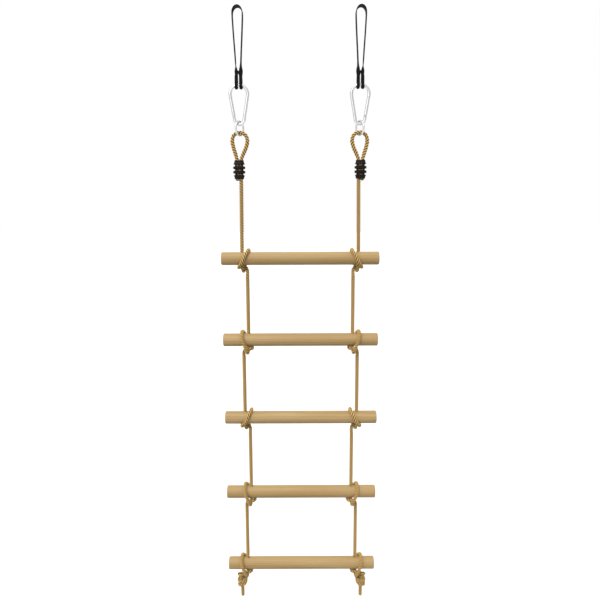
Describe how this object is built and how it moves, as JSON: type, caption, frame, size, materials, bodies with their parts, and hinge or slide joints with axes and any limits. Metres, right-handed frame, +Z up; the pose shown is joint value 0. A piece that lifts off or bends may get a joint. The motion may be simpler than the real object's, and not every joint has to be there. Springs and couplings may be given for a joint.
{
  "type": "rope ladder with wooden rungs",
  "caption": "Hanging rope ladder: two webbing slings, snap hooks and rings carry twisted side ropes hitched round drilled wooden rungs.",
  "frame": {"origin": "midway between the inner crowns of the two sling loops, on the bar that they hang over", "axes": "+X right along the rungs, +Y to the back, +Z up"},
  "size_m": [0.42, 0.0558, 1.6263],
  "materials": {
    "webbing": "woven",
    "rope": "twisted fibre",
    "rung_wood": "satin",
    "clamp_plastic": "moulded",
    "spring_steel": "plain",
    "galvanised_steel": "bright zinc"
  },
  "bodies": {
    "root": {"left_sling": "webbing", "right_sling": "webbing"},
    "left_hook": {"left_hook_body": "galvanised_steel", "left_gate_rivet": "spring_steel"},
    "left_gate": {"left_gate": "galvanised_steel", "left_gate_plunger": "spring_steel", "left_gate_spring": "spring_steel"},
    "left_ring": {"left_ring": "galvanised_steel"},
    "left_eye": {"left_rope_eye": "rope", "left_clamp_front": "clamp_plastic", "left_clamp_back": "clamp_plastic"},
    "right_hook": {"right_hook_body": "galvanised_steel", "right_gate_rivet": "spring_steel"},
    "right_gate": {"right_gate": "galvanised_steel", "right_gate_plunger": "spring_steel", "right_gate_spring": "spring_steel"},
    "right_ring": {"right_ring": "galvanised_steel"},
    "right_eye": {"right_rope_eye": "rope", "right_clamp_front": "clamp_plastic", "right_clamp_back": "clamp_plastic"},
    "bay_1": {"rung_1": "rung_wood", "left_rope_1": "rope", "right_rope_1": "rope"},
    "bay_2": {"rung_2": "rung_wood", "left_rope_2": "rope", "right_rope_2": "rope"},
    "bay_3": {"rung_3": "rung_wood", "left_rope_3": "rope", "right_rope_3": "rope"},
    "bay_4": {"rung_4": "rung_wood", "left_rope_4": "rope", "right_rope_4": "rope"},
    "bay_5": {"rung_5": "rung_wood", "left_rope_5": "rope", "right_rope_5": "rope", "left_end_knot": "rope", "right_end_knot": "rope"}
  },
  "joints": [
    {"name": "left_hook_swing", "type": "hinge", "parent": "root", "child": "left_hook", "pos_m": [-0.155, 0, -0.187], "axis": [1, 0, 0], "range_deg": [-30, 30]},
    {"name": "left_ring_swing", "type": "hinge", "parent": "left_hook", "child": "left_ring", "pos_m": [-0.155, 0, -0.284], "axis": [1, 0, 0], "range_deg": [-35, 35]},
    {"name": "left_eye_swing", "type": "hinge", "parent": "left_ring", "child": "left_eye", "pos_m": [-0.155, 0, -0.3045], "axis": [1, 0, 0], "range_deg": [-35, 35]},
    {"name": "left_gate_open", "type": "hinge", "parent": "left_hook", "child": "left_gate", "pos_m": [-0.16851, 0, -0.26416], "axis": [0, 1, 0], "range_deg": [0, 26], "stiffness_Nm_per_rad": 0.06, "springref_deg": -20.05},
    {"name": "right_hook_swing", "type": "hinge", "parent": "root", "child": "right_hook", "pos_m": [0.155, 0, -0.187], "axis": [1, 0, 0], "range_deg": [-30, 30]},
    {"name": "right_ring_swing", "type": "hinge", "parent": "right_hook", "child": "right_ring", "pos_m": [0.155, 0, -0.284], "axis": [1, 0, 0], "range_deg": [-35, 35]},
    {"name": "right_eye_swing", "type": "hinge", "parent": "right_ring", "child": "right_eye", "pos_m": [0.155, 0, -0.3045], "axis": [1, 0, 0], "range_deg": [-35, 35]},
    {"name": "right_gate_open", "type": "hinge", "parent": "right_hook", "child": "right_gate", "pos_m": [0.16851, 0, -0.26416], "axis": [0, -1, 0], "range_deg": [0, 26], "stiffness_Nm_per_rad": 0.06, "springref_deg": -20.05},
    {"name": "bay_1_bend", "type": "hinge", "parent": "left_eye", "child": "bay_1", "pos_m": [0, 0, -0.433], "axis": [1, 0, 0], "range_deg": [-80, 80]},
    {"name": "bay_2_bend", "type": "hinge", "parent": "bay_1", "child": "bay_2", "pos_m": [0, 0, -0.686], "axis": [-1, 0, 0], "range_deg": [-80, 80]},
    {"name": "bay_3_bend", "type": "hinge", "parent": "bay_2", "child": "bay_3", "pos_m": [0, 0, -0.908], "axis": [1, 0, 0], "range_deg": [-80, 80]},
    {"name": "bay_4_bend", "type": "hinge", "parent": "bay_3", "child": "bay_4", "pos_m": [0, 0, -1.13], "axis": [-1, 0, 0], "range_deg": [-80, 80]},
    {"name": "bay_5_bend", "type": "hinge", "parent": "bay_4", "child": "bay_5", "pos_m": [0, 0, -1.352], "axis": [1, 0, 0], "range_deg": [-80, 80]}
  ],
  "couplings": [
    {"joint": "right_hook_swing", "follows": "left_hook_swing", "ratio": 1},
    {"joint": "right_ring_swing", "follows": "left_ring_swing", "ratio": 1},
    {"joint": "right_eye_swing", "follows": "left_eye_swing", "ratio": 1}
  ]
}
